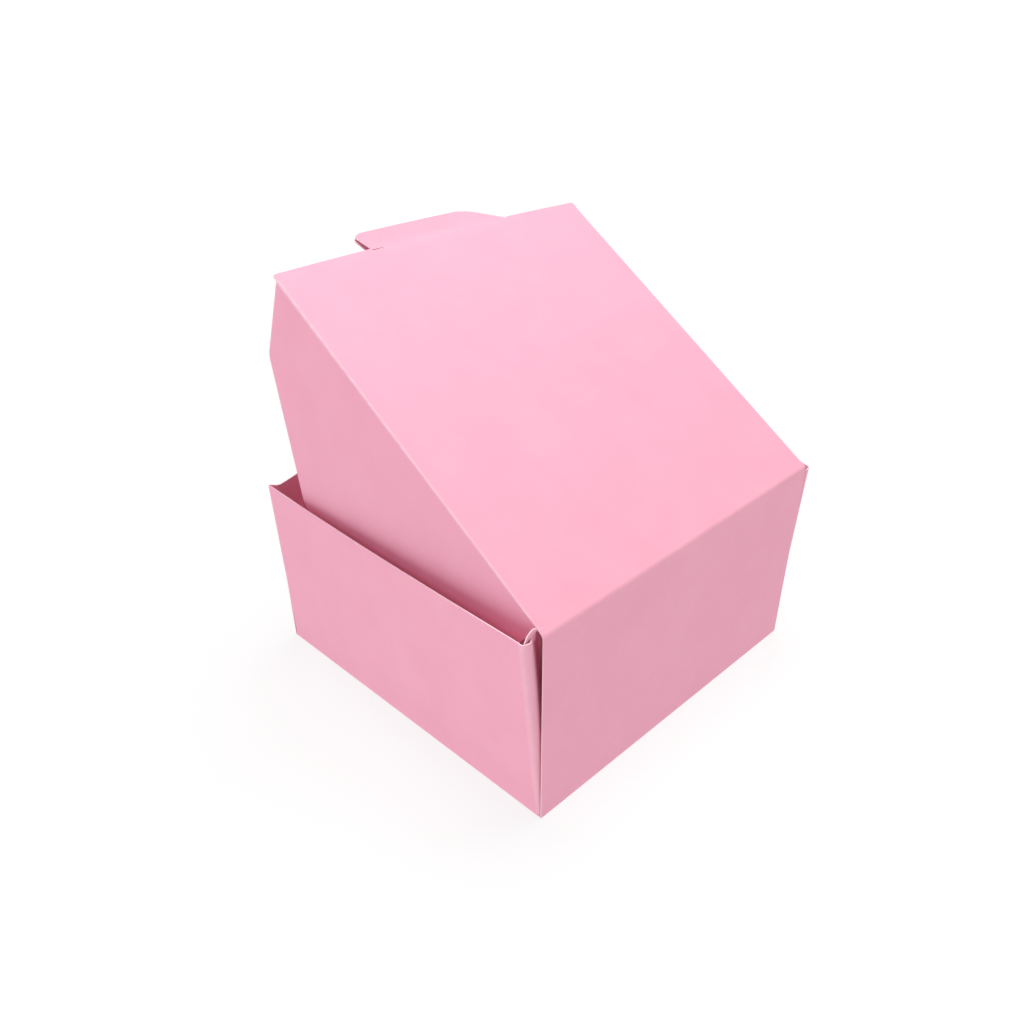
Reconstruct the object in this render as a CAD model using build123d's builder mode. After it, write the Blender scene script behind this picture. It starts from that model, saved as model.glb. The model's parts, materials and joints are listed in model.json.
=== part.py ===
from build123d import *
import math
import os

# Hinged-lid flower box: one die-cut and creased blank of paperboard, glued at four corners.
# Row frame in mm: +Z up, origin at the middle of the bottom's underside, front wall towards -Y,
# back wall and lid hinge towards +Y. The lid stands part open, as the box is put out for filling.

# ---- driving dimensions -------------------------------------------------------------------
width = 203.0  # outside, across the front, at the bottom
length = 203.0  # outside, front to back, at the bottom
height = 105.0  # floor to the crease of the lid hinge
board = 0.5  # paperboard caliper
side_lean = 7.0  # how far each side wall's rim springs outwards

front_rim = 103.0  # the front wall stops short, so the tuck flap passes over it
front_corner_drop = 4.5  # the front wall's top corners slope down
front_corner_run = 16.0
foot_radius = 0.8 * board  # rounding of the bottom creases
side_rim = 104.0
back_rim = 104.2  # the back wall ends just under the hinge crease

glue_film = 0.15  # thickness of the adhesive
corner_reach = 48.0  # how far a corner flap runs along the front or back wall
corner_rim_reach = 18.0  # its length at the rim
corner_shoulder = 60.0  # height where its free edge turns down
glue_inset = 4.0  # adhesive stays this far inside the glued triangle
glue_trim = 3.5 * glue_inset  # the glue film stays clear of the flap's three edges
ear_centre = 105.4  # rounded ear beside the hinge, distance from the middle plane
ear_height = 105.4
ear_radius = 3.5

lid_angle = 34.0  # how far the lid stands open
lid_width = 202.0
lid_length = 202.0  # hinge crease to tuck crease
lid_overhang = 0.8  # the cut front edge beside the tuck flap
lid_corner_radius = 2.0
crease_gap = 0.35  # half of the scored strip at a crease

flap_depth = 97.5  # lid side flaps hang almost to the bottom
flap_corner_radius = 3.0
flap_hinge_drop = 0.95  # hinge line below the lid's outer face
flap_end_inset = 3.5  # each end of the flap's creased edge
flap_waist_inset = 10.0  # the ends slope slightly down to here
flap_waist_depth = 40.6
flap_foot_inset = 62.0  # and steeply in to the bottom edge

tuck_angle = 27.0  # the tuck flap bends down from the lid
tuck_length = 28.0
tuck_root = 45.5  # half widths
tuck_crease = 39.0
tuck_waist = 39.5
tuck_waist_at = 23.0
tuck_end = 33.0
tuck_corner_radius = 3.0
slit_depth = 1.2  # slit cut into the lid beside the tuck crease
slit_end = tuck_root + 0.6  # the slit clears the tuck flap's root
cutter = 10.0  # cutting shapes run this far past the panel

lip_angle = 168.0  # the lip is folded back under the tuck flap
lip_length = 24.0
lip_crease = 32.0  # half widths
lip_shoulder = 40.0
lip_shoulder_at = 5.0
lip_end = 44.0
lip_corner_radius = 3.0
lip_hinge_out = 0.3  # hinge line past the flap's end and below its middle

# ---- values worked out from them ----------------------------------------------------------
half_width = width / 2
half_length = length / 2
inside = half_width - board  # the square is the same size both ways
corner_outer = half_length - board - glue_film  # outer face of the corner flaps
corner_inner = corner_outer - board
half_lid = lid_width / 2

lid_turn = math.radians(lid_angle)
along_lid = Vector(0, -math.cos(lid_turn), math.sin(lid_turn))
off_lid = Vector(0, math.sin(lid_turn), math.cos(lid_turn))
hinge_point = Vector(0, half_length, height)
lid_plane = Plane(origin=hinge_point, x_dir=along_lid, z_dir=off_lid)

tuck_turn = math.radians(tuck_angle)
along_tuck = along_lid * math.cos(tuck_turn) - off_lid * math.sin(tuck_turn)
off_tuck = off_lid * math.cos(tuck_turn) + along_lid * math.sin(tuck_turn)
tuck_point = hinge_point + along_lid * lid_length - off_lid * (board / 2)
tuck_plane = Plane(origin=tuck_point, x_dir=along_tuck, z_dir=off_tuck)

lip_turn = math.radians(lip_angle)
along_lip = along_tuck * math.cos(lip_turn) - off_tuck * math.sin(lip_turn)
off_lip = off_tuck * math.cos(lip_turn) + along_tuck * math.sin(lip_turn)
lip_point = tuck_point + along_tuck * (tuck_length + lip_hinge_out) - off_tuck * lip_hinge_out
lip_plane = Plane(origin=lip_point, x_dir=along_lip, z_dir=off_lip)


def lean_at(z):
    """How far a side wall stands outside its foot at height z."""
    return side_lean * z / side_rim


def write(solid, name):
    """Labels one finished piece and writes its STEP file."""
    solid.label = name
    export_step(solid, f"parts/{name}.step")
    box = solid.bounding_box()
    print(f"{name:26s} {solid.volume / 1000:7.3f} cm3   {box.size.X:6.1f} {box.size.Y:6.1f} {box.size.Z:6.1f}")


# ---- the tray: bottom and four walls ------------------------------------------------------
def make_bottom_panel():
    """Square floor of the box, held between the walls."""
    with BuildPart() as bottom:
        with BuildSketch(Plane.XY):
            Rectangle(2 * inside, 2 * inside)
        extrude(amount=board)
    return bottom.part


def make_end_wall(side, rim, corner_drop=0):
    """Front (side -1) or back (side +1) wall, as wide as the box; its top corners may slope down."""
    outer = Plane.XZ.offset(-side * half_length)
    with BuildPart() as wall:
        with BuildSketch(outer):
            with Locations((0, rim / 2)):
                Rectangle(width, rim)
            if corner_drop:
                for x_side in (-1, 1):
                    with BuildLine():
                        Polyline(
                            (x_side * half_width, rim),
                            (x_side * (half_width - front_corner_run), rim),
                            (x_side * half_width, rim - corner_drop),
                            close=True,
                        )
                    make_face(mode=Mode.SUBTRACT)
        extrude(amount=side * board)
        foot = wall.edges().filter_by(Axis.X).group_by(Axis.Z)[0].sort_by(Axis.Y)
        fillet(foot[-1] if side > 0 else foot[0], radius=foot_radius)
    return wall.part


def make_side_wall(side):
    """Left (side -1) or right (side +1) wall: it leans outwards by the board's spring."""
    with BuildPart() as wall:
        with BuildSketch(Plane.XZ):
            with BuildLine():
                Polyline(
                    (side * inside, 0),
                    (side * half_width, 0),
                    (side * (half_width + side_lean), side_rim),
                    (side * (inside + side_lean), side_rim),
                    close=True,
                )
            make_face()
        extrude(amount=corner_inner, both=True)
    return wall.part


# ---- the four glued corners ---------------------------------------------------------------
def make_gusset(x_side, y_side, with_ear):
    """Free triangle of a corner flap, between the side wall's crease and the diagonal crease."""
    face = Plane.XZ.offset(-y_side * corner_inner)
    tip = inside - corner_reach
    rim = side_rim - board
    with BuildPart() as gusset:
        with BuildSketch(face):
            with BuildLine():
                Polyline(
                    (x_side * inside, board),
                    (x_side * (half_width + lean_at(board)), board),
                    (x_side * (half_width + lean_at(rim)), rim),
                    (x_side * (inside - corner_rim_reach), rim),
                    (x_side * tip, corner_shoulder),
                    (x_side * tip, board + corner_reach),
                    close=True,
                )
            make_face()
            if with_ear:
                with Locations((x_side * ear_centre, ear_height)):
                    Circle(ear_radius)
                with Locations((x_side * ear_centre, (ear_height + rim) / 2 - board)):
                    Rectangle(2 * ear_radius - board, ear_height - rim + 2 * board)
        extrude(amount=-y_side * board)
    return gusset.part


def make_glue_flap(x_side, y_side):
    """Triangle beyond the diagonal crease, glued flat to the front or back wall."""
    face = Plane.XZ.offset(-y_side * corner_inner)
    tip = inside - corner_reach
    with BuildPart() as flap:
        with BuildSketch(face):
            with BuildLine():
                Polyline(
                    (x_side * inside, board),
                    (x_side * tip, board),
                    (x_side * tip, board + corner_reach),
                    close=True,
                )
            make_face()
        extrude(amount=-y_side * board)
    return flap.part


def make_glue_patch(x_side, y_side):
    """Film of adhesive between a glue flap and its wall."""
    face = Plane.XZ.offset(-y_side * corner_outer)
    low = board + glue_inset
    tip = inside - corner_reach + glue_inset
    reach = corner_reach - glue_trim
    with BuildPart() as patch:
        with BuildSketch(face):
            with BuildLine():
                Polyline(
                    (x_side * (tip + reach), low),
                    (x_side * tip, low),
                    (x_side * tip, low + reach),
                    close=True,
                )
            make_face()
            fillet(vertices(), radius=glue_inset / 2)
        extrude(amount=-y_side * glue_film)
    return patch.part


# ---- the lid and its flaps ----------------------------------------------------------------
def make_lid_panel():
    """Top panel, continuous with the back wall in the real blank, with two slits at the tuck."""
    cut_edge = lid_length + lid_overhang
    with BuildPart() as lid:
        with BuildSketch(lid_plane):
            with Locations(((crease_gap + cut_edge) / 2, 0)):
                Rectangle(cut_edge - crease_gap, lid_width)
            fillet(vertices().sort_by(Axis.X)[-2:], radius=lid_corner_radius)
            with Locations((lid_length - crease_gap + cutter / 2, 0)):
                Rectangle(cutter, 2 * tuck_crease, mode=Mode.SUBTRACT)
            for side in (-1, 1):
                with Locations((lid_length - slit_depth + cutter / 2, side * (tuck_crease + slit_end) / 2)):
                    Rectangle(cutter, slit_end - tuck_crease, mode=Mode.SUBTRACT)
        extrude(amount=-board)
    return lid.part


def make_lid_side_flap(side):
    """Flap folded square down from the lid's side, just inside the side wall; its sketch's y runs down."""
    origin = hinge_point + Vector(side * half_lid, 0, 0)
    outer = Plane(origin=origin, x_dir=along_lid, z_dir=Vector(1, 0, 0))
    with BuildPart() as flap:
        with BuildSketch(outer):
            with BuildLine():
                Polyline(
                    (flap_end_inset, flap_hinge_drop),
                    (lid_length - flap_end_inset, flap_hinge_drop),
                    (lid_length - flap_waist_inset, flap_waist_depth),
                    (lid_length - flap_foot_inset, flap_depth),
                    (flap_foot_inset, flap_depth),
                    (flap_waist_inset, flap_waist_depth),
                    close=True,
                )
            make_face()
            fillet(vertices().sort_by(Axis.Y)[2:], radius=flap_corner_radius)
        extrude(amount=-side * board)
    return flap.part


def make_tuck_flap():
    """Tapered flap at the lid's front edge that tucks behind the front wall."""
    with BuildPart() as tuck:
        with BuildSketch(tuck_plane.offset(-board / 2)):
            with BuildLine():
                Polyline(
                    (crease_gap, -tuck_crease),
                    (2 * crease_gap, -tuck_root),
                    (tuck_waist_at, -tuck_waist),
                    (tuck_length, -tuck_end),
                    (tuck_length, tuck_end),
                    (tuck_waist_at, tuck_waist),
                    (2 * crease_gap, tuck_root),
                    (crease_gap, tuck_crease),
                    close=True,
                )
            make_face()
            fillet(vertices().sort_by(Axis.X)[-4:], radius=tuck_corner_radius)
        extrude(amount=board)
    return tuck.part


def make_tuck_lip():
    """End of the tuck flap, folded back under it to stiffen the edge."""
    low = lip_hinge_out - board / 2
    with BuildPart() as lip:
        with BuildSketch(lip_plane.offset(low)):
            with BuildLine():
                Polyline(
                    (crease_gap, -lip_crease),
                    (lip_shoulder_at, -lip_shoulder),
                    (lip_length, -lip_end),
                    (lip_length, lip_end),
                    (lip_shoulder_at, lip_shoulder),
                    (crease_gap, lip_crease),
                    close=True,
                )
            make_face()
            fillet(vertices().sort_by(Axis.X)[-4:], radius=lip_corner_radius)
        extrude(amount=board)
    return lip.part


# ---- build and write ----------------------------------------------------------------------
os.makedirs("parts", exist_ok=True)

write(make_bottom_panel(), "bottom_panel")
write(make_end_wall(-1, front_rim, front_corner_drop), "front_wall")
write(make_end_wall(1, back_rim), "back_wall")
for side_name, x_sign in (("left", -1), ("right", 1)):
    write(make_side_wall(x_sign), f"{side_name}_wall")
    write(make_lid_side_flap(x_sign), f"lid_{side_name}_flap")
    for end_name, y_sign in (("front", -1), ("back", 1)):
        corner = f"{end_name}_{side_name}"
        write(make_gusset(x_sign, y_sign, y_sign > 0), f"gusset_{corner}")
        write(make_glue_flap(x_sign, y_sign), f"glue_flap_{corner}")
        write(make_glue_patch(x_sign, y_sign), f"glue_patch_{corner}")
write(make_lid_panel(), "lid_panel")
write(make_tuck_flap(), "tuck_flap")
write(make_tuck_lip(), "tuck_lip")
print("hinge lines pass through", hinge_point, tuck_point, lip_point)
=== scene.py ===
# %% [markdown]
# # A folding flower box
# The box is one sheet of paperboard, cut, creased, folded and glued at its corners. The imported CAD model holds
# its panels at their true size and the lines they hinge on. This script makes the same panels look like board:
# every panel is drawn flat, as it lies in the blank, and then folded up, so creases are soft and walls bow a little.
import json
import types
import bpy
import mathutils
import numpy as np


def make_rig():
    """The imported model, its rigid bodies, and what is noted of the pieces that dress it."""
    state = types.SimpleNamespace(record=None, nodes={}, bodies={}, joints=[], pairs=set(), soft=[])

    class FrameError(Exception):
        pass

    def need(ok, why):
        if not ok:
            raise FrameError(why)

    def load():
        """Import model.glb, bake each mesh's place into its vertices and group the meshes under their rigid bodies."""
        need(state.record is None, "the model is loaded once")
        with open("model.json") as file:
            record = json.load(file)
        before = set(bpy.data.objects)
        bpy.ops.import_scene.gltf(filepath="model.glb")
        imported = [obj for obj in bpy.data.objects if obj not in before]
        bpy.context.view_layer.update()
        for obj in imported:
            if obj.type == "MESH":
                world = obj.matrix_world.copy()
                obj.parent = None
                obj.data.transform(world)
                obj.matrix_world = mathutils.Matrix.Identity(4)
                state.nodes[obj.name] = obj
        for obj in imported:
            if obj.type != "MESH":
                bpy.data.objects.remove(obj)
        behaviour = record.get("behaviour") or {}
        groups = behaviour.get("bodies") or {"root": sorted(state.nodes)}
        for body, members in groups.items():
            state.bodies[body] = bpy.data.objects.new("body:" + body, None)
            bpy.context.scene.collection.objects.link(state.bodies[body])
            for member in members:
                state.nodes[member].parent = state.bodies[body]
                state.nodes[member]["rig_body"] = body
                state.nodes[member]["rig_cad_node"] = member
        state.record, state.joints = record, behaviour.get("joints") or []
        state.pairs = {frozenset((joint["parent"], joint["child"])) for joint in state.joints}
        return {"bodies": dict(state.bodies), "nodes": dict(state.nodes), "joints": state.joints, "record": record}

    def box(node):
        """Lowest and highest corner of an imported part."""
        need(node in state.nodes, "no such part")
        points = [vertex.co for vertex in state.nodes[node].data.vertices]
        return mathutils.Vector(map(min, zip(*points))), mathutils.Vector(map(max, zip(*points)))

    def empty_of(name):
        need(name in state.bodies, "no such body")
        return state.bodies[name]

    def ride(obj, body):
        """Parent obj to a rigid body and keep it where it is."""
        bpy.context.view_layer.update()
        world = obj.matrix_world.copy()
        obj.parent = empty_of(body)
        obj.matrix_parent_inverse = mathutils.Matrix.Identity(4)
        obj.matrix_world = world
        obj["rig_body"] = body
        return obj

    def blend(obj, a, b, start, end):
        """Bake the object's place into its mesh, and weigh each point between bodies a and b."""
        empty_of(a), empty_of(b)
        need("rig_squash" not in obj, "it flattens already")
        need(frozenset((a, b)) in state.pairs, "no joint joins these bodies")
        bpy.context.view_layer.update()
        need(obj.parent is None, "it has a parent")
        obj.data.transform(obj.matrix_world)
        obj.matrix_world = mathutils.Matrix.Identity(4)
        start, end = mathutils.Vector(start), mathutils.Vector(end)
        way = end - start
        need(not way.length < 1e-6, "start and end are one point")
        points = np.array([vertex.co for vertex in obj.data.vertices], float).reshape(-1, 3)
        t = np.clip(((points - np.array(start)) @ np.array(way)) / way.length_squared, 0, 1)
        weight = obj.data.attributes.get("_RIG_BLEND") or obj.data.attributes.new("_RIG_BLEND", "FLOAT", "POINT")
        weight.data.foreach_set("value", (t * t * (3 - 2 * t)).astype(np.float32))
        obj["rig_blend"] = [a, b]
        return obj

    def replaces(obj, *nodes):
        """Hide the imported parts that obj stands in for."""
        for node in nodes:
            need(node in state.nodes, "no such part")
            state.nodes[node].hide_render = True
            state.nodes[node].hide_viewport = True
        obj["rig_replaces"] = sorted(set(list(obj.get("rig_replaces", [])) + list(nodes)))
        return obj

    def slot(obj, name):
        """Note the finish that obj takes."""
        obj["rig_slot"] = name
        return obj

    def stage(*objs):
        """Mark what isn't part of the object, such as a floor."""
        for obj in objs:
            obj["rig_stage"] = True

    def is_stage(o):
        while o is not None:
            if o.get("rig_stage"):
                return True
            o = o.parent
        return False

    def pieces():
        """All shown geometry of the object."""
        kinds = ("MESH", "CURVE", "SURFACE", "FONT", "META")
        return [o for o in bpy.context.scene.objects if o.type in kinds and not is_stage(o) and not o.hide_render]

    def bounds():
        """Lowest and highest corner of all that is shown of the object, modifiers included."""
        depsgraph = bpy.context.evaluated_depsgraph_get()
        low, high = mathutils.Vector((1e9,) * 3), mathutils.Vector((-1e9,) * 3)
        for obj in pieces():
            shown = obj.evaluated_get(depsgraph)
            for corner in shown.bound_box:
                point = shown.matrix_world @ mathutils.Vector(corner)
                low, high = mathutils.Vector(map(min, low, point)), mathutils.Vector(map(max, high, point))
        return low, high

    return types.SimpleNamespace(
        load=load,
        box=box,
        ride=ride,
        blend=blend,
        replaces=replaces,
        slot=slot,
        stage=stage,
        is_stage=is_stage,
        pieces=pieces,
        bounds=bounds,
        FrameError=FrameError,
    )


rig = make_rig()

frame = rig.load()
cad_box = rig.bounds()
print("CAD box", [tuple(round(v, 4) for v in corner) for corner in cad_box])

# %% Blender's own modules
import json
import math

import bmesh
import bpy
import numpy as np
from mathutils import Matrix, Vector

mm = 0.001

# %% [markdown]
# ## Sizes that come from the frame
# The walls' places come from the boxes of their CAD nodes, and the lines that the lid and its tuck flap turn on
# come from the joints. Only the outlines of the smaller flaps are given again, further down.

# %% Read the walls and hinge lines
joints = {joint["name"]: joint for joint in frame["joints"]}
hinge = Vector(joints["lid_hinge"]["pos_m"])
tuck_line = Vector(joints["tuck_crease"]["pos_m"])

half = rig.box("back_wall")[1][0]
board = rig.box("bottom_panel")[1][2]
front_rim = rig.box("front_wall")[1][2]
side_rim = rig.box("right_wall")[1][2]
lid_ease = 0.3 * mm
half_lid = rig.box("lid_panel")[1][0] + lid_ease
print(f"half width {half:.4f}, hinge height {hinge.z:.4f}")

# %% The direction of the lid
along_lid = (tuck_line - hinge).normalized()
along_lid = Vector((0, along_lid.y, along_lid.z)).normalized()
off_lid = Vector((0, along_lid.z, -along_lid.y))
lid_open = math.atan2(along_lid.z, -along_lid.y)
lid_length = (tuck_line - hinge).dot(along_lid)
print(f"lid {lid_length:.4f} m long, open {math.degrees(lid_open):.1f} degrees")

# %% [markdown]
# ## The board's finish
# Pink board is dyed pulp: matt, a little mottled, with short fibres on its face. Where it is folded the fibres break
# and show paler, and the same paling also paints the highlight that light makes along a rounded crease. A knife-cut
# edge is almost white. The mottle and the fibres are one node group and the wear with the painted crease highlight is
# another, so that every material of the box can share them.

# %% Node helpers
def new_group(name, inputs, outputs):
    """An empty shader node group with named sockets."""
    group = bpy.data.node_groups.new(name, "ShaderNodeTree")
    for label, kind, value in inputs:
        socket = group.interface.new_socket(label, in_out="INPUT", socket_type=kind)
        if value is not None:
            socket.default_value = value
    for label, kind in outputs:
        group.interface.new_socket(label, in_out="OUTPUT", socket_type=kind)
    return group, group.nodes.new("NodeGroupInput"), group.nodes.new("NodeGroupOutput")


def noise(tree, vector, scale, detail=3.0, roughness=0.55):
    """A noise texture fed by a vector socket."""
    node = tree.nodes.new("ShaderNodeTexNoise")
    node.inputs["Scale"].default_value = scale
    node.inputs["Detail"].default_value = detail
    node.inputs["Roughness"].default_value = roughness
    tree.links.new(vector, node.inputs["Vector"])
    return node.outputs["Fac"]


def remap(tree, value, low, high, to_low=0.0, to_high=1.0):
    """Stretches a mask from low..high to a new range."""
    node = tree.nodes.new("ShaderNodeMapRange")
    node.inputs["From Min"].default_value = low
    node.inputs["From Max"].default_value = high
    node.inputs["To Min"].default_value = to_low
    node.inputs["To Max"].default_value = to_high
    tree.links.new(value, node.inputs["Value"])
    return node.outputs["Result"]


def math_node(tree, operation, first, second):
    """One arithmetic node; each operand is a socket or a number."""
    node = tree.nodes.new("ShaderNodeMath")
    node.operation = operation
    for slot, operand in enumerate((first, second)):
        if isinstance(operand, (int, float)):
            node.inputs[slot].default_value = operand
        else:
            tree.links.new(operand, node.inputs[slot])
    return node.outputs["Value"]


def blend_colors(tree, amount, first, second):
    """Mixes two colours; each is a socket or an RGBA tuple."""
    node = tree.nodes.new("ShaderNodeMix")
    node.data_type = "RGBA"
    tree.links.new(amount, node.inputs["Factor"])
    for socket, color in ((node.inputs[6], first), (node.inputs[7], second)):
        if isinstance(color, tuple):
            socket.default_value = color
        else:
            tree.links.new(color, socket)
    return node.outputs[2]


# %% Paper fibre group
fibre, fibre_in, fibre_out = new_group(
    "Paper fibre",
    [
        ("Vector", "NodeSocketVector", None),
        ("Color", "NodeSocketColor", (0.9, 0.5, 0.6, 1)),
        ("Mottle", "NodeSocketFloat", 0.012),
    ],
    [("Color", "NodeSocketColor"), ("Roughness", "NodeSocketFloat"), ("Height", "NodeSocketFloat")],
)
cloud = noise(fibre, fibre_in.outputs["Vector"], 45.0, detail=5.0)
fleck = noise(fibre, fibre_in.outputs["Vector"], 900.0, detail=2.0)
stretch = fibre.nodes.new("ShaderNodeMapping")
stretch.inputs["Scale"].default_value = (420.0, 2300.0, 420.0)
fibre.links.new(fibre_in.outputs["Vector"], stretch.inputs["Vector"])
grain = noise(fibre, stretch.outputs["Vector"], 1.0, detail=2.0)
shade = math_node(fibre, "MULTIPLY", remap(fibre, cloud, 0.3, 0.7, -1.0, 1.0), fibre_in.outputs["Mottle"])
speck = remap(fibre, fleck, 0.3, 0.7, -0.012, 0.012)
value = math_node(fibre, "ADD", math_node(fibre, "ADD", shade, speck), 1.0)
tone = fibre.nodes.new("ShaderNodeHueSaturation")
fibre.links.new(fibre_in.outputs["Color"], tone.inputs["Color"])
fibre.links.new(value, tone.inputs["Value"])
fibre.links.new(remap(fibre, cloud, 0.3, 0.7, 1.015, 0.985), tone.inputs["Saturation"])
fibre.links.new(tone.outputs["Color"], fibre_out.inputs["Color"])
fibre.links.new(remap(fibre, fleck, 0.3, 0.7, 0.58, 0.70), fibre_out.inputs["Roughness"])
height = math_node(fibre, "ADD", math_node(fibre, "MULTIPLY", grain, 0.6), math_node(fibre, "MULTIPLY", fleck, 0.4))
fibre.links.new(height, fibre_out.inputs["Height"])

# %% Fold and edge wear group, which also paints the highlight along creases
fold_wear_and_highlight, wear_in, wear_out = new_group(
    "Fold wear",
    [
        ("Vector", "NodeSocketVector", None),
        ("Color", "NodeSocketColor", (0.9, 0.5, 0.6, 1)),
        ("Worn color", "NodeSocketColor", (1.0, 0.8, 0.85, 1)),
        ("Crease", "NodeSocketFloat", 0.0),
        ("Cut edge", "NodeSocketFloat", 0.0),
    ],
    [("Color", "NodeSocketColor")],
)
breaks = remap(fold_wear_and_highlight, noise(fold_wear_and_highlight, wear_in.outputs["Vector"], 260.0), 0.35, 0.65, 0.55, 1.0)
# The crease mask pales the board where the fibres break, and it also paints the highlight that light makes along a
# rounded fold; the cut-edge mask is the edge's own paler colour.
pale = math_node(fold_wear_and_highlight, "MAXIMUM", wear_in.outputs["Crease"], wear_in.outputs["Cut edge"])
amount = math_node(fold_wear_and_highlight, "MULTIPLY", pale, breaks)
worn = blend_colors(fold_wear_and_highlight, amount, wear_in.outputs["Color"], wear_in.outputs["Worn color"])
fold_wear_and_highlight.links.new(worn, wear_out.inputs["Color"])


# %% Board material
def make_board_material(name, color, worn_color, crease_wear_and_highlight_share, edge_share):
    """Paperboard whose creases pale by one share, worn fibres and a painted highlight together, and whose cut edges
    pale by another.
    """
    material = bpy.data.materials.new(name)
    material.use_nodes = True
    tree = material.node_tree
    shader = tree.nodes["Principled BSDF"]
    place = tree.nodes.new("ShaderNodeTexCoord").outputs["Object"]
    paper = tree.nodes.new("ShaderNodeGroup")
    paper.node_tree = fibre
    paper.inputs["Color"].default_value = color
    tree.links.new(place, paper.inputs["Vector"])
    rub_and_highlight = tree.nodes.new("ShaderNodeGroup")
    rub_and_highlight.node_tree = fold_wear_and_highlight
    rub_and_highlight.inputs["Worn color"].default_value = worn_color
    tree.links.new(place, rub_and_highlight.inputs["Vector"])
    tree.links.new(paper.outputs["Color"], rub_and_highlight.inputs["Color"])
    # The crease attribute drives fibre paling and a painted highlight along each fold; the cut_edge attribute drives
    # the edge's own paler colour.
    for attribute, share, socket in (("crease", crease_wear_and_highlight_share, "Crease"), ("cut_edge", edge_share, "Cut edge")):
        mask = tree.nodes.new("ShaderNodeAttribute")
        mask.attribute_name = attribute
        tree.links.new(math_node(tree, "MULTIPLY", mask.outputs["Fac"], share), rub_and_highlight.inputs[socket])
    tree.links.new(rub_and_highlight.outputs["Color"], shader.inputs["Base Color"])
    tree.links.new(paper.outputs["Roughness"], shader.inputs["Roughness"])
    bump = tree.nodes.new("ShaderNodeBump")
    bump.inputs["Strength"].default_value = 0.12
    bump.inputs["Distance"].default_value = 0.0002
    tree.links.new(paper.outputs["Height"], bump.inputs["Height"])
    tree.links.new(bump.outputs["Normal"], shader.inputs["Normal"])
    shader.inputs["Specular IOR Level"].default_value = 0.3
    return material


pink = (0.98, 0.435, 0.575, 1)
pale_pink = (1.0, 0.68, 0.76, 1)
# Creases pale by 0.6 on the face: fibre wear and a painted thin highlight along each fold.
board_face = make_board_material("pink board face", pink, pale_pink, 0.6, 0.3)
board_edge = make_board_material("pink board cut edge", pale_pink, (1.0, 0.86, 0.88, 1), 0.3, 0.3)
print("materials", board_face.name, "and", board_edge.name)

# %% [markdown]
# ## Drawing a panel flat
# A panel starts as one flat polygon in the plan of the blank, x across and s from the front of the box over the
# bottom and the back wall to the lid. A narrow inset band follows its cut edges, so that wear can be painted
# there, and straight cuts slice it where it has to bend. Bending a finely sliced sheet gives softer, truer
# creases than bevelling the corner of a box would.

# %% Draw and slice a flat sheet
edge_band = 0.7 * mm


def flat_sheet(outline, x_cuts, s_cuts, seam, rounding=()):
    """Mesh of one flat panel; seam(x, s) is true on a border that continues into another panel."""
    sheet = bmesh.new()
    corners = [sheet.verts.new((x, s, 0)) for x, s in outline]
    sheet.faces.new(corners)
    sheet.normal_update()
    for radius, chosen in rounding:
        bmesh.ops.bevel(
            sheet,
            geom=[corners[i] for i in chosen],
            offset=radius,
            offset_type="OFFSET",
            segments=5,
            profile=0.5,
            affect="VERTICES",
            material=-1,
        )
    bmesh.ops.inset_individual(sheet, faces=sheet.faces[:], thickness=edge_band, use_even_offset=True)
    for axis, cuts in ((0, x_cuts), (1, s_cuts)):
        for cut in cuts:
            bmesh.ops.bisect_plane(
                sheet,
                geom=sheet.verts[:] + sheet.edges[:] + sheet.faces[:],
                plane_co=Vector((cut, cut, 0)),
                plane_no=Vector((1 - axis, axis, 0)),
                dist=1e-7,
            )
    worn = sheet.verts.layers.float.new("cut_edge")
    plan = sheet.loops.layers.uv.new("blank")
    for vert in sheet.verts:
        vert[worn] = 1.0 if vert.is_boundary and not seam(vert.co.x, vert.co.y) else 0.0
    for face in sheet.faces:
        for loop in face.loops:
            loop[plan].uv = (loop.vert.co.x, loop.vert.co.y)
    return sheet


def steps(low, high, size):
    """Evenly spaced cuts between two ends, about one size apart."""
    count = max(1, round((high - low) / size))
    return [low + (high - low) * i / count for i in range(1, count)]


def crease_cuts(line, radius, turn, count=6):
    """Cuts that divide the arc of one crease, and its two ends."""
    start = line - radius * math.tan(turn / 2)
    return [start + radius * turn * i / count for i in range(count + 1)]


print("a crease of 1 mm radius and a quarter turn is sliced at", crease_cuts(0, 1.0, math.pi / 2))

# %% [markdown]
# ## Folding it
# A crease turns the sheet through an arc. The first panel keeps its own measure right up to the arc, so that it
# meets its neighbours exactly, and the second panel carries on where the arc ends. An arc is shorter than the
# sharp corner it replaces, which is the gain that the second panel gets.

# %% Fold a distance over one crease
def fold(distance, radius, turn):
    """Where a point lies, along the first panel and across it, that is this far past the crease line."""
    tangent = radius * math.tan(turn / 2)
    past = distance + tangent
    if past <= 0:
        return distance, 0.0
    if past < radius * turn:
        angle = past / radius
        return radius * math.sin(angle) - tangent, radius * (1 - math.cos(angle))
    rest = past - radius * turn + tangent
    return rest * math.cos(turn), rest * math.sin(turn)


def gain(radius, turn):
    """How much further a point on the second panel gets than over a sharp corner."""
    return 2 * radius * math.tan(turn / 2) - radius * turn


def smooth(t):
    """Eases from 0 to 1."""
    t = min(max(t, 0.0), 1.0)
    return t * t * (3 - 2 * t)


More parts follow.
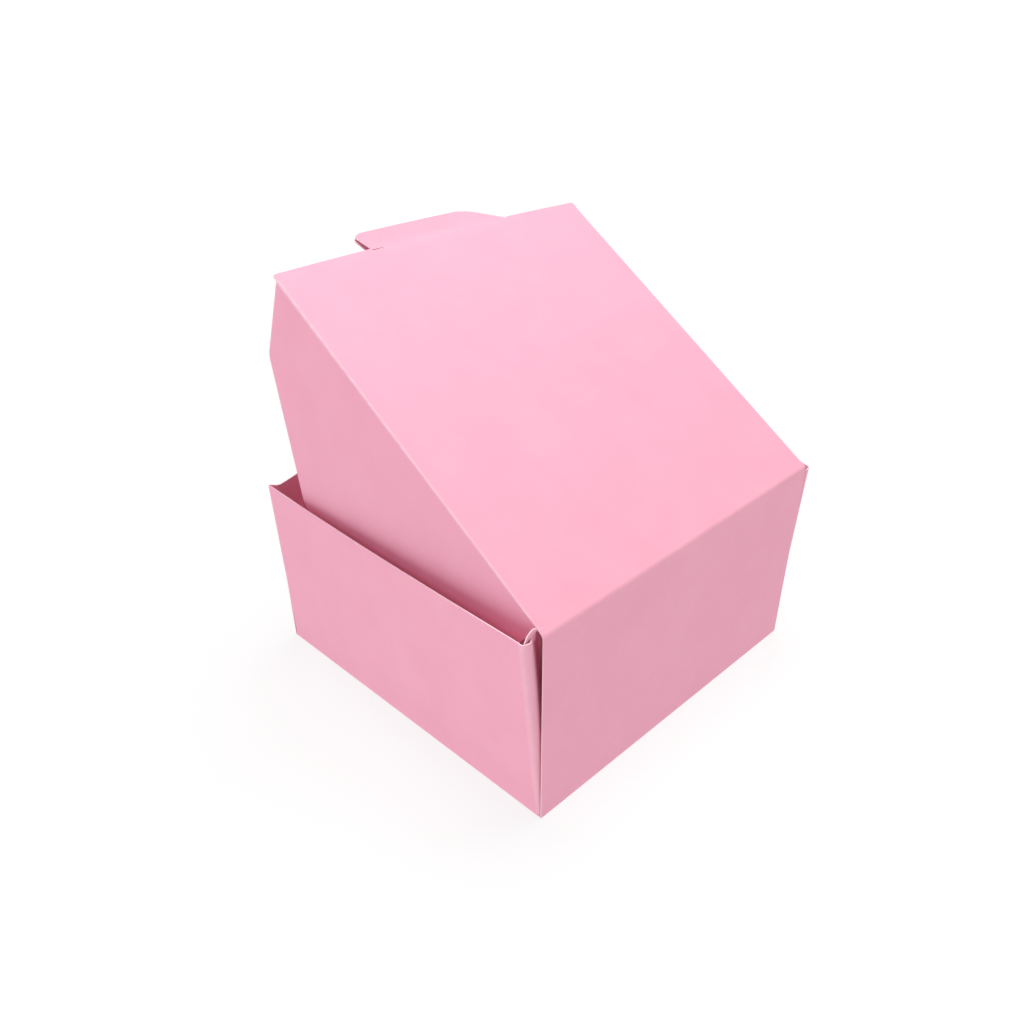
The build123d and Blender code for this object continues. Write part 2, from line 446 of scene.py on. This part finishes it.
# %% Turn a folded sheet into a board piece
def make_board(name, sheet, place, crease, facing):
    """Folds the sheet with place(x, s), marks its creases and gives it thickness behind its outer face."""
    # The crease mark pales the fibres at each fold and paints the highlight along it.
    crease_wear_and_highlight = sheet.verts.layers.float.new("crease")
    for vert in sheet.verts:
        x, s = vert.co.x, vert.co.y
        vert[crease_wear_and_highlight] = crease(x, s)
        vert.co = place(x, s)
    sheet.normal_update()
    if sum((face.normal * face.calc_area() for face in sheet.faces), Vector()).dot(facing) < 0:
        bmesh.ops.reverse_faces(sheet, faces=sheet.faces[:])
    mesh = bpy.data.meshes.new(name)
    sheet.to_mesh(mesh)
    sheet.free()
    mesh.materials.append(board_face)
    mesh.materials.append(board_edge)
    flat = bpy.data.objects.new(name, mesh)
    bpy.context.collection.objects.link(flat)
    wall = flat.modifiers.new("board", "SOLIDIFY")
    wall.thickness = board
    wall.offset = -1
    wall.use_even_offset = True
    wall.use_rim = True
    wall.material_offset_rim = 1
    bpy.context.view_layer.update()
    state = bpy.context.evaluated_depsgraph_get()
    solid = bpy.data.meshes.new_from_object(
        flat.evaluated_get(state), preserve_all_data_layers=True, depsgraph=state
    )
    flat.modifiers.clear()
    flat.data = solid
    bpy.data.meshes.remove(mesh)
    solid.name = name
    solid.polygons.foreach_set("use_smooth", [True] * len(solid.polygons))
    solid.set_sharp_from_angle(angle=math.radians(50))
    return flat


# %% [markdown]
# ## Where the board really stands
# Fresh board is springy. The side walls lean outwards, more at the hinge than at the front, and the front wall
# leans in a little. The lid and the hinge line are not perfectly level either. These few distances give the
# whole box its handmade stance, and every panel that meets at a corner asks the same functions.

# %% The stance of the walls
corner_radius = 1.6 * mm
bottom_radius = 0.6 * mm
wall_gain = gain(bottom_radius, math.pi / 2)
lean_back = 10.1 * mm
lean_front = 3.0 * mm
back_corner_in = 1.4 * mm
front_corner_in = 1.7 * mm
front_rim_drop = 0.9 * mm
side_bulge = 1.2 * mm


def side_point(side, s, h):
    """Outer face of a side wall: s runs along it, h is the distance from the bottom crease."""
    out, up = fold(h, bottom_radius, math.pi / 2)
    share = up / side_rim
    back = (s / half + 1) / 2
    lean = (lean_front + (lean_back - lean_front) * back) * share
    bulge = side_bulge * math.cos(s / half * math.pi / 2) * math.sin(min(share, 1) * math.pi / 2)
    pull = back_corner_in * share**0.45 if s > 0 else front_corner_in * share
    y = s * (1 - pull / half)
    return Vector((side * (half + out + lean + max(bulge, 0)), y, up))


# %% The stance of the end walls
hinge_fall = -1.2 * mm
hinge_rise = 2.8 * mm
hinge_spread = 0.8 * mm


def spread(x, share):
    """The left end of the hinge stands a little further out than the bottom corner."""
    return x + hinge_spread * min(x / half, 0) * share


def hinge_tilt(x):
    """How far the hinge line stands above or below its level at x."""
    return hinge_fall + (hinge_rise - hinge_fall) * (half - x) / (2 * half)


def back_point(x, s):
    """Outer face of the back wall, s counted from the bottom crease."""
    out, up = fold(s, bottom_radius, math.pi / 2)
    share = smooth(up / hinge.z)
    return Vector((spread(x, share), half + out, up + hinge_tilt(x) * share))


def front_point(x, s):
    """Outer face of the front wall, s counted from the bottom crease."""
    out, up = fold(s, bottom_radius, math.pi / 2)
    lean = front_corner_in * (up / front_rim) ** 2.5 if up > 0 else 0.0
    return Vector((x, -half - out + lean, up))


# %% [markdown]
# ## The lid's stance
# The hinge crease is soft, a few millimetres in radius, so the back wall seems to flow into the lid. Beyond it
# the lid is flat but for a slight crown towards its front edge.

# %% Points on the lid
hinge_radius = 2.6 * mm
hinge_turn = math.pi / 2 - lid_open
lid_crown = 1.9 * mm
lid_lift = {"right": 1.3 * mm, "left": 1.5 * mm}


def lid_point(x, s, below=0.0):
    """Outer face of the lid, s counted from the hinge crease, below it by a given distance."""
    up, over = fold(s, hinge_radius, hinge_turn)
    crown = lid_crown * smooth(s / lid_length) * (1 - (x / half_lid) ** 2)
    leftness = (half - x) / (2 * half)
    lift = (lid_lift["right"] * (1 - leftness) + lid_lift["left"] * leftness) * max(s / lid_length, 0)
    spot = Vector((spread(x, 1 - min(max(s / lid_length, 0), 1)), hinge.y - over, hinge.z + up + hinge_tilt(x)))
    return spot + off_lid * (crown + lift - below)


def side_crease_radius(side, s):
    """The lid's side creases are crisp at the hinge and slacker towards the front, the right one most."""
    return (0.5 + (0.5 if side > 0 else 0.2) * min(max(s / lid_length, 0), 1)) * mm


def flap_point(side, x, s):
    """Outer face of a lid side flap; x runs out over the lid's side crease and down the flap."""
    along, down = fold(x - half_lid, side_crease_radius(side, s), math.pi / 2)
    return lid_point(side * (half_lid + along), s, down)


print("front corner of the lid stands at", [round(v, 4) for v in lid_point(half_lid, lid_length)])


# %% [markdown]
# ## The floor of the box and its end walls
# The bottom is held on four sides, so it stays flat with a trace of crown. The front and back walls grow out of
# it over tight creases, and each wall piece keeps a narrow strip of the bottom so that the crease is its own.

# %% Bottom, back and front panels
strip = 4.0 * mm
floor_half = half - strip
panel_step = 9 * mm


def crease_mark(distance, radius, turn, fade=1.2 * mm):
    """1 on the arc of a crease, fading to 0 beyond it."""
    reach = radius * turn / 2
    middle = reach - radius * math.tan(turn / 2)
    return 1 - smooth((abs(distance - middle) - reach) / fade)


floor_crown = 0.4 * mm


def floor_point(x, s):
    rise = math.cos(x / floor_half * math.pi / 2) * math.cos(s / floor_half * math.pi / 2)
    return Vector((x, s, floor_crown * max(rise, 0)))


across = steps(-floor_half, floor_half, panel_step)
floor_outline = [
    (-floor_half, -floor_half),
    (floor_half, -floor_half),
    (floor_half, floor_half),
    (-floor_half, floor_half),
]
bottom = make_board(
    "bottom_panel_board",
    flat_sheet(floor_outline, across, across, lambda x, s: True),
    floor_point,
    lambda x, s: 0.0,
    Vector((0, 0, -1)),
)
hinge_strip = 4.0 * mm


def end_wall(name, top, place, facing, top_seam, relief=0.0, relief_width=0.0):
    """A wall as wide as the box, with its bottom crease; relief slopes its top corners down."""
    right = [(floor_half, -strip), (half, 0), (half, top - relief)]
    if relief:
        right.append((half - relief_width, top))
    outline = right + [(-x, s) for x, s in reversed(right)]
    cuts = crease_cuts(0, bottom_radius, math.pi / 2) + steps(2 * mm, top, panel_step)

    def seam(x, s):
        return s < -strip + 1e-5 or (top_seam and s > top - 1e-5)

    sheet = flat_sheet(outline, steps(-half, half, panel_step), cuts, seam)
    return make_board(name, sheet, place, lambda x, s: 0.0, facing)


back_wall = end_wall("back_wall_board", hinge.z - hinge_strip - wall_gain, back_point, Vector((0, 1, 0)), True)
front_wall = end_wall(
    "front_wall_board", front_rim - wall_gain, front_point, Vector((0, -1, 0)), False, 4.5 * mm, 16 * mm
)
print("end walls have", len(back_wall.data.polygons), "and", len(front_wall.data.polygons), "faces")

# %% [markdown]
# ## Side walls
# The side walls hang between the corners. Their ends are not cut: the board turns there into the corner flaps.

# %% Left and right walls
corner_slack = 0.1 * mm
corner_line = half - board - corner_slack
corner_strip = 3.0 * mm
low_tab = 1.5 * mm


def make_side_wall(side):
    end = corner_line - corner_strip
    outline = [
        (-strip, -floor_half),
        (0, -corner_line),
        (low_tab, -corner_line),
        (low_tab, -end),
        (side_rim - front_rim_drop, -end),
        (side_rim, end),
        (low_tab, end),
        (low_tab, corner_line),
        (0, corner_line),
        (-strip, floor_half),
    ]
    up_cuts = crease_cuts(0, bottom_radius, math.pi / 2) + steps(2 * mm, side_rim - 3 * mm, panel_step)
    along_cuts = steps(-end, end, panel_step)
    sheet = flat_sheet(
        outline, up_cuts, along_cuts, lambda h, s: h < side_rim - front_rim_drop - 1e-4 or abs(s) > end - 1e-5
    )
    return make_board(
        f"{'left' if side < 0 else 'right'}_wall_board",
        sheet,
        lambda h, s: side_point(side, s, h),
        lambda h, s: 0.0,
        Vector((side, 0, 0)),
    )


side_walls = {side: make_side_wall(side) for side in (-1, 1)}
print("side walls lean out by", lean_front / mm, "to", lean_back / mm, "mm")

# %% [markdown]
# ## The glued corners
# At each corner the side wall's board turns inwards as a flap. Its lower triangle is glued flat to the end wall.
# The triangle above the diagonal is free: as the wall springs out, it bellies into the box, and a dark hollow
# opens between it and the end wall, widest at the rim and closing to nothing at the bottom.

# %% Corner flaps
back_heading = ([0, 3, 5, 14, 17, 34, 48], [-14, -6, 36, 36, -26, -26, 0])
front_heading = ([0, 4, 6, 16, 24, 48], [42, 42, -14, -16, 0, 0])
corner_reach = 48 * mm
flap_rim_reach = 18 * mm
flap_shoulder = 60 * mm
glue_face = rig.box("glue_flap_back_left")[1][1]


def make_gusset(side, end):
    """Free triangle of one corner flap, with its crease to the side wall; end is -1 at the front."""
    rim = side_rim if end > 0 else side_rim - front_rim_drop
    keys, turns = back_heading if end > 0 else front_heading
    reach = corner_radius
    bend = corner_radius * math.pi / 2
    outline = [
        (-corner_strip, low_tab),
        (low_tab, low_tab),
        (corner_reach, corner_reach),
        (corner_reach, flap_shoulder),
        (flap_rim_reach, rim - 0.6 * mm),
        (4 * mm, rim - 0.9 * mm),
        (-corner_strip, rim),
    ]

    def walk(t, h):
        start = side_point(side, end * (corner_line + min(t, -reach)), h)
        if t <= -reach:
            return start
        share = min(start.z / side_rim, 1.0)
        count = max(2, math.ceil((t + reach) / (0.4 * mm)))
        length = (t + reach) / count
        x, y = start.x, start.y
        for i in range(count):
            at = -reach + (i + 0.5) * length
            final = math.pi / 2 + math.radians(np.interp(at / mm, keys, turns)) * share
            heading = final * min((at + reach) / bend, 1.0)
            x -= side * math.sin(heading) * length
            y += end * math.cos(heading) * length
        return Vector((x, y, start.z))

    def place(t, h):
        spot = walk(t, h)
        if t > -reach:
            glued_at = min(max(h, 2 * mm), corner_reach)
            miss = end * glue_face - walk(glued_at, h).y
            spot.y += miss * smooth(t / glued_at)
        return spot

    t_cuts = crease_cuts(0, corner_radius, math.pi / 2) + steps(1.2 * mm, corner_reach, 2.4 * mm)
    sheet = flat_sheet(
        outline,
        t_cuts,
        steps(low_tab, rim - 2 * mm, 6 * mm),
        lambda t, h: t < -corner_strip + 1e-5 or h < flap_shoulder - 12 * mm and t < h + 1e-5 and t > -reach,
    )
    names = f"{'front' if end < 0 else 'back'}_{'left' if side < 0 else 'right'}"
    return make_board(
        f"gusset_{names}_board",
        sheet,
        place,
        # Half-strength crease paling: worn fibres and a painted light band along the corner crease.
        lambda t, h: 0.5 * crease_mark(t, corner_radius, math.pi / 2),
        Vector((0, end, 0)),
    )


gussets = {(side, end): make_gusset(side, end) for side in (-1, 1) for end in (-1, 1)}
print("made", len(gussets), "corner flaps")

# %% [markdown]
# ## The lid
# The lid panel keeps the last few millimetres of the back wall, so the whole hinge crease is in one piece and can
# bend as the lid turns. Its side borders stop short of the side creases, which belong to the flaps.

# %% Lid panel
flap_root_strip = 4.0 * mm
side_seam = half_lid - flap_root_strip
relief_back = 3.5 * mm
relief_front = lid_length - 3.0 * mm
lid_front = lid_length + 0.8 * mm
lid_corner_radius = 1.5 * mm
tuck_seam = lid_length - 6 * mm
tuck_crease_half = 39.0 * mm
tuck_root_half = 46.1 * mm
slit_end = {1: lid_length - 0.4 * mm, -1: lid_length + 0.1 * mm}
lid_x_cuts = steps(-side_seam, side_seam, 8 * mm)
lid_s_cuts = crease_cuts(0, hinge_radius, hinge_turn, 8) + steps(2 * mm, tuck_seam, 8 * mm)


def lid_outline():
    """The lid's outline, round from the back right; each side has its own slit beside the tuck."""
    right, left = (
        [
            (side * half, -hinge_strip),
            (side * half, 0),
            (side * half_lid, relief_back),
            (side * side_seam, relief_back),
            (side * side_seam, relief_front),
            (side * half_lid, relief_front),
            (side * half_lid, lid_front),
            (side * tuck_root_half, lid_front),
            (side * tuck_root_half, slit_end[side]),
            (side * tuck_crease_half, slit_end[side]),
            (side * tuck_crease_half, tuck_seam),
        ]
        for side in (1, -1)
    )
    return right + left[::-1]


def lid_seam(x, s):
    beside_flap = abs(abs(x) - side_seam) < 1e-5 and relief_back - 1e-5 < s < relief_front + 1e-5
    at_tuck = abs(x) < tuck_crease_half + 1e-5 and s > tuck_seam - 1e-5
    return beside_flap or at_tuck or s < -hinge_strip + 1e-5


lid_sheet = flat_sheet(lid_outline(), lid_x_cuts, lid_s_cuts, lid_seam, [(lid_corner_radius, (6, 15))])
lid = make_board(
    "lid_board",
    lid_sheet,
    lid_point,
    # Faint crease paling: worn fibres and a faint painted highlight along the hinge.
    lambda x, s: 0.1 * crease_mark(s, hinge_radius, hinge_turn),
    off_lid,
)


def span(before, after, crease_line):
    """Start and end of a blend, turned square to the crease line so that it is the same all along it."""
    start, end = Vector(before), Vector(after)
    line = crease_line.normalized()
    return {"start": start, "end": start + (end - start) - line * (end - start).dot(line)}


hinge_line = lid_point(half, 0) - lid_point(-half, 0)
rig.blend(lid, "tray", "lid", **span(lid_point(0, -1.6 * mm), lid_point(0, 1.6 * mm), hinge_line))
print("lid has", len(lid.data.polygons), "faces")

# %% [markdown]
# ## The lid's side flaps
# Each flap is nearly as deep as the box, sloped at both ends so that it can swing past the walls. It starts on
# the lid, rolls over the side crease and hangs square.

# %% Side flaps
flap_deep = 97.5 * mm
flap_waist_deep = 40.6 * mm
flap_waist_in = 10.0 * mm
flap_foot_in = 62.0 * mm
flap_start = half_lid + 0.9 * mm
flap_corner_radius = 2.5 * mm


def make_side_flap(side):
    outline = [
        (side_seam, relief_back),
        (flap_start, relief_back),
        (half_lid + flap_waist_deep, flap_waist_in),
        (half_lid + flap_deep, flap_foot_in),
        (half_lid + flap_deep, lid_length - flap_foot_in - 0.6 * mm),
        (half_lid + flap_waist_deep, lid_length - flap_waist_in + 0.4 * mm),
        (flap_start, relief_front),
        (side_seam, relief_front),
    ]
    over = [half_lid + (-1.2 + 0.2 * i) * mm for i in range(13)]
    down = steps(half_lid + 3 * mm, half_lid + flap_deep, 8 * mm)
    sheet = flat_sheet(
        outline,
        over + down,
        lid_s_cuts[9:],
        lambda x, s: x < side_seam + 1e-5,
        [(flap_corner_radius, (2, 3, 4, 5))],
    )
    name = f"lid_{'left' if side < 0 else 'right'}_flap"
    flap = make_board(
        name + "_board",
        sheet,
        lambda x, s: flap_point(side, x, s),
        # Narrow full crease paling: worn fibres and a painted thin highlight along the lid's side crease.
        lambda x, s: crease_mark(x - half_lid, side_crease_radius(side, s), math.pi / 2, 0.25 * mm),
        Vector((side, 0, 0)) + off_lid * 0.1,
    )
    body = "left_flap" if side < 0 else "right_flap"
    middle = lid_length / 2
    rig.blend(
        flap,
        "lid",
        body,
        start=flap_point(side, half_lid - 2.0 * mm, middle),
        end=flap_point(side, half_lid + 2.0 * mm, middle),
    )
    return flap


side_flaps = {side: make_side_flap(side) for side in (-1, 1)}
print("side flaps hang", flap_deep / mm, "mm deep")


# %% [markdown]
# ## The tuck flap and its lip
# The tuck flap goes on from the lid between two short slits. Its crease is hardly pressed, so it rolls over
# softly. At its end the board is folded back on itself, nearly flat, which makes a smooth stiff edge that slides
# in behind the front wall. Springy board never lies quite flat again, so the lip stands off a little.

# %% Points on the tuck flap and its lip
tuck_radius = 9.0 * mm
tuck_turn = math.radians(30.2)
tuck_seam_half = 36.9 * mm
tuck_end_seam = 25.0 * mm
lip_radius = 0.5 * mm
lip_turn = math.radians(173)
lip_start = lid_length + 27.5 * mm
lip_arc = lip_radius * lip_turn


def tuck_point(x, t, below=0.0):
    """Outer face of the tuck flap, t counted from the hinge crease like the lid's own distance."""
    along, down = fold(t - lid_length, tuck_radius, tuck_turn)
    along -= below * math.sin(tuck_turn)
    return lid_point(x, lid_length + along, down + below * math.cos(tuck_turn))


def lip_point(x, t):
    """Outer face of the lip, beyond the fold at the end of the tuck flap."""
    past = t - lip_start
    if past <= 0:
        return tuck_point(x, t)
    angle = min(past / lip_radius, lip_turn)
    rest = max(past - lip_arc, 0)
    along = lip_radius * math.sin(angle) + rest * math.cos(angle)
    down = lip_radius * (1 - math.cos(angle)) + rest * math.sin(angle)
    return tuck_point(x, lip_start + along, down)


# %% Tuck flap
def both_sides(right):
    """An outline from its right half, mirrored for the left."""
    return right + [(-x, s) for x, s in reversed(right)]


tuck_outline = both_sides(
    [
        (tuck_crease_half, tuck_seam),
        (tuck_crease_half, lid_length + 0.35 * mm),
        (45.5 * mm, lid_length + 0.7 * mm),
        (39.5 * mm, lid_length + 23 * mm),
        (tuck_seam_half, lid_length + tuck_end_seam),
    ]
)
tuck_cuts = crease_cuts(lid_length, tuck_radius, tuck_turn, 10)
tuck_x_cuts = steps(-tuck_crease_half, tuck_crease_half, 8 * mm)


def tuck_seams(x, t):
    beside_lid = abs(x) < tuck_crease_half + 1e-5 and t < lid_length
    return beside_lid or t > lid_length + tuck_end_seam - 1e-5


tuck = make_board(
    "tuck_flap_board",
    flat_sheet(
        tuck_outline,
        tuck_x_cuts,
        tuck_cuts + steps(lid_length + 4 * mm, lid_length + tuck_end_seam, 5 * mm),
        tuck_seams,
        [(2.0 * mm, (3, 6))],
    ),
    tuck_point,
    # Faint crease paling: worn fibres and a faint painted highlight along the tuck crease.
    lambda x, t: 0.15 * crease_mark(t - lid_length, tuck_radius, tuck_turn),
    off_lid,
)
tuck_line_across = tuck_point(40 * mm, lid_length) - tuck_point(-40 * mm, lid_length)
before_tuck = tuck_point(0, lid_length - 2.4 * mm)
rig.blend(tuck, "lid", "tuck", **span(before_tuck, tuck_point(0, lid_length + 2.4 * mm), tuck_line_across))

# %% Lip folded back under it
lip_base = lip_start + lip_arc
lip_length = 24 * mm
lip_outline = both_sides(
    [
        (tuck_seam_half, lid_length + tuck_end_seam),
        (33.5 * mm, lip_start),
        (33.0 * mm, lip_base),
        (40.5 * mm, lip_base + 5 * mm),
        (44.0 * mm, lip_base + lip_length),
    ]
)
lip_cuts = [lip_start + lip_arc * i / 10 for i in range(11)] + steps(lip_base, lip_base + lip_length, 5 * mm)
lip = make_board(
    "tuck_lip_board",
    flat_sheet(
        lip_outline,
        tuck_x_cuts,
        lip_cuts,
        lambda x, t: t < lid_length + tuck_end_seam + 1e-5,
        [(2.5 * mm, (3, 4, 5, 6))],
    ),
    lip_point,
    # Crease paling at the lip's fold: worn fibres and a painted highlight, as on every crease.
    lambda x, t: 0.6 * crease_mark(t - lip_start - lip_arc / 2, lip_radius, lip_turn, 0.6 * mm),
    -off_lid,
)
inside_fold = tuck_point(0, lip_start, 0.45 * mm)
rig.blend(lip, "tuck", "lip", **span(inside_fold, tuck_point(0, lip_start, 0.6 * mm), tuck_line_across))
print("tuck flap and lip reach", [round(v, 4) for v in lip_point(0, lip_start + lip_arc / 2)])

# %% [markdown]
# ## The ears beside the hinge
# At each back corner a rounded ear stands above the rim, just outside the lid's hinge. It is the top of the
# corner flap, and keeps the lid from sliding sideways.

# %% Ears
ear_foot = 100.5 * mm
ear_inner = 101.3 * mm
ear_outer = 109.9 * mm
ear_profile = [(101.3, 105.6), (102.2, 107.0), (103.6, 107.9), (105.2, 107.7), (107.4, 106.2), (109.9, 103.8)]


def make_ear(side):
    outline = [(ear_inner, ear_foot), *[(x * mm, z * mm) for x, z in ear_profile], (ear_outer, ear_foot)]
    sheet = flat_sheet(outline, [], [102.5 * mm, 104 * mm, 105.5 * mm], lambda x, z: False, [(0.6 * mm, (2, 3, 4, 5))])

    def place(x, z):
        low = 98.7 * mm + 0.25 * (x - 108 * mm)
        top = 98.6 * mm
        return Vector((side * x, low + (top - low) * smooth((z - 103.5 * mm) / (4 * mm)), z))

    return make_board(f"ear_{'left' if side < 0 else 'right'}_board", sheet, place, lambda x, z: 0.0, Vector((0, 1, 0)))


ears = {side: make_ear(side) for side in (-1, 1)}
print("ears stand", round(ear_profile[2][1] - side_rim / mm, 1), "mm above the side rim")

# %% [markdown]
# ## Which body each piece rides on
# The pieces of the tray never move. The lid, its flaps, the tuck and the lip were blended across their creases.
# Each piece stands for the CAD solid of the same panel, which stays behind it for collisions.

# %% Ride, replace, finish
tray_pieces = {
    "bottom_panel": bottom,
    "back_wall": back_wall,
    "front_wall": front_wall,
    "left_wall": side_walls[-1],
    "right_wall": side_walls[1],
}
for (side, end), piece in gussets.items():
    tray_pieces[piece.name.removesuffix("_board")] = piece
for node, piece in tray_pieces.items():
    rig.ride(piece, "tray")
    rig.replaces(piece, node)
for ear in ears.values():
    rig.ride(ear, "tray")
moving_pieces = {
    "lid_panel": lid,
    "lid_left_flap": side_flaps[-1],
    "lid_right_flap": side_flaps[1],
    "tuck_flap": tuck,
    "tuck_lip": lip,
}
for node, piece in moving_pieces.items():
    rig.replaces(piece, node)
for piece in [*tray_pieces.values(), *moving_pieces.values(), *ears.values()]:
    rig.slot(piece, "paperboard")
print(len(tray_pieces) + len(moving_pieces) + len(ears), "board pieces stand for the CAD panels")

# %% [markdown]
# ## Glue
# The glued triangles keep their CAD shape. They only need the board's finish, and the glue between them and the
# wall a clouded, slightly shiny film.

# %% Glued triangles and glue film
glue = bpy.data.materials.new("dried glue")
glue.use_nodes = True
glue_tree = glue.node_tree
glue_shader = glue_tree.nodes["Principled BSDF"]
glue_paper = glue_tree.nodes.new("ShaderNodeGroup")
glue_paper.node_tree = fibre
glue_paper.inputs["Color"].default_value = (0.85, 0.78, 0.7, 1)
glue_paper.inputs["Mottle"].default_value = 0.1
glue_tree.links.new(glue_tree.nodes.new("ShaderNodeTexCoord").outputs["Object"], glue_paper.inputs["Vector"])
glue_tree.links.new(glue_paper.outputs["Color"], glue_shader.inputs["Base Color"])
gloss = remap(glue_tree, glue_paper.outputs["Roughness"], 0.5, 0.8, 0.25, 0.45)
glue_tree.links.new(gloss, glue_shader.inputs["Roughness"])
for name, node in frame["nodes"].items():
    if name.startswith("glue_"):
        for slot in node.material_slots:
            slot.material = glue if name.startswith("glue_patch") else board_face

# %% [markdown]
# ## Floor, light and camera
# The floor is a wide white dish whose rim curves up, so it has no horizon from any side. One large soft light
# hangs overhead and a weaker one to the right. The sky is white where the camera sees it and nearly dark as a light.

# %% White floor
floor_reach = 3.0
floor_curve = 1.2
dish = bmesh.new()
profile = [Vector((0, 0, 0)), Vector((floor_reach, 0, 0))]
for i in range(1, 13):
    angle = math.pi / 2 * i / 12
    profile.append(Vector((floor_reach + floor_curve * math.sin(angle), 0, floor_curve * (1 - math.cos(angle)))))
line = [dish.verts.new(point) for point in profile]
edges = [dish.edges.new(pair) for pair in zip(line, line[1:])]
bmesh.ops.spin(dish, geom=line + edges, axis=(0, 0, 1), cent=(0, 0, 0), angle=2 * math.pi, steps=64, use_merge=True)
bmesh.ops.remove_doubles(dish, verts=dish.verts[:], dist=1e-6)
bmesh.ops.recalc_face_normals(dish, faces=dish.faces[:])
floor_mesh = bpy.data.meshes.new("studio_floor")
dish.to_mesh(floor_mesh)
dish.free()
floor_mesh.polygons.foreach_set("use_smooth", [True] * len(floor_mesh.polygons))
floor = bpy.data.objects.new("studio_floor", floor_mesh)
bpy.context.collection.objects.link(floor)
floor_paint = bpy.data.materials.new("lit white floor")
floor_paint.use_nodes = True
floor_tree = floor_paint.node_tree
floor_shader = floor_tree.nodes["Principled BSDF"]
floor_shader.inputs["Base Color"].default_value = (0.2, 0.2, 0.2, 1)
floor_shader.inputs["Roughness"].default_value = 0.8
floor_shader.inputs["Specular IOR Level"].default_value = 0.1
from_middle = floor_tree.nodes.new("ShaderNodeVectorMath")
from_middle.operation = "LENGTH"
floor_tree.links.new(floor_tree.nodes.new("ShaderNodeTexCoord").outputs["Object"], from_middle.inputs[0])
glow = remap(floor_tree, from_middle.outputs["Value"], 0.2, 1.8, 0.81, 0.98)
glow_color = floor_tree.nodes.new("ShaderNodeCombineColor")
for channel in ("Red", "Green", "Blue"):
    floor_tree.links.new(glow, glow_color.inputs[channel])
floor_tree.links.new(glow_color.outputs["Color"], floor_shader.inputs["Emission Color"])
floor_shader.inputs["Emission Strength"].default_value = 1.0
floor_mesh.materials.append(floor_paint)
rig.stage(floor)

# %% Lights
world = bpy.data.worlds.new("studio")
bpy.context.scene.world = world
world.use_nodes = True
sky = world.node_tree
sky.nodes["Background"].inputs["Color"].default_value = (1, 1, 1, 1)
seen = sky.nodes.new("ShaderNodeLightPath").outputs["Is Camera Ray"]
sky.links.new(math_node(sky, "MAXIMUM", seen, 0.05), sky.nodes["Background"].inputs["Strength"])


def soft_light(name, spot, aim, size, power, color):
    """A square soft light that looks at a point."""
    data = bpy.data.lights.new(name, "AREA")
    data.color = color
    data.size = size
    data.energy = power
    lamp = bpy.data.objects.new(name, data)
    lamp.location = spot
    lamp.rotation_euler = (Vector(aim) - Vector(spot)).to_track_quat("-Z", "Y").to_euler()
    bpy.context.collection.objects.link(lamp)
    return lamp


soft_light("overhead softbox", (-0.2, 0.0, 1.25), (0, 0, 0.1), 0.8, 13.8, (1, 1, 0.96))
soft_light("side softbox", (1.5, 0.2, 1.5), (0, 0, 0.1), 1.2, 10.8, (0.96, 0.93, 1))
bpy.context.scene.view_settings.view_transform = "Standard"

# %% Camera
camera_from = Vector((303.8, 286.7, 309.7)) * mm
camera_at = Vector((26.6, -12.7, 57.0)) * mm
camera_roll = math.radians(-1.72)
eye = bpy.data.cameras.new("camera")
eye.sensor_width = 36.0
eye.lens = 30.23
eye.shift_x = 0.0272
eye.shift_y = 0.0479
eye.clip_start = 0.01
camera = bpy.data.objects.new("camera", eye)
aim = (camera_at - camera_from).to_track_quat("-Z", "Y").to_matrix().to_4x4()
camera.matrix_world = Matrix.Translation(camera_from) @ aim @ Matrix.Rotation(camera_roll, 4, "Z")
bpy.context.collection.objects.link(camera)
bpy.context.scene.camera = camera

# %% Measure the size and write it out
looks_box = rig.bounds()
both_boxes = {name: [list(corner) for corner in box] for name, box in (("cad", cad_box), ("visual", looks_box))}
with open("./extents.json", "w") as sizes:
    json.dump(both_boxes, sizes)
print("visual box", [tuple(round(v, 4) for v in corner) for corner in looks_box])
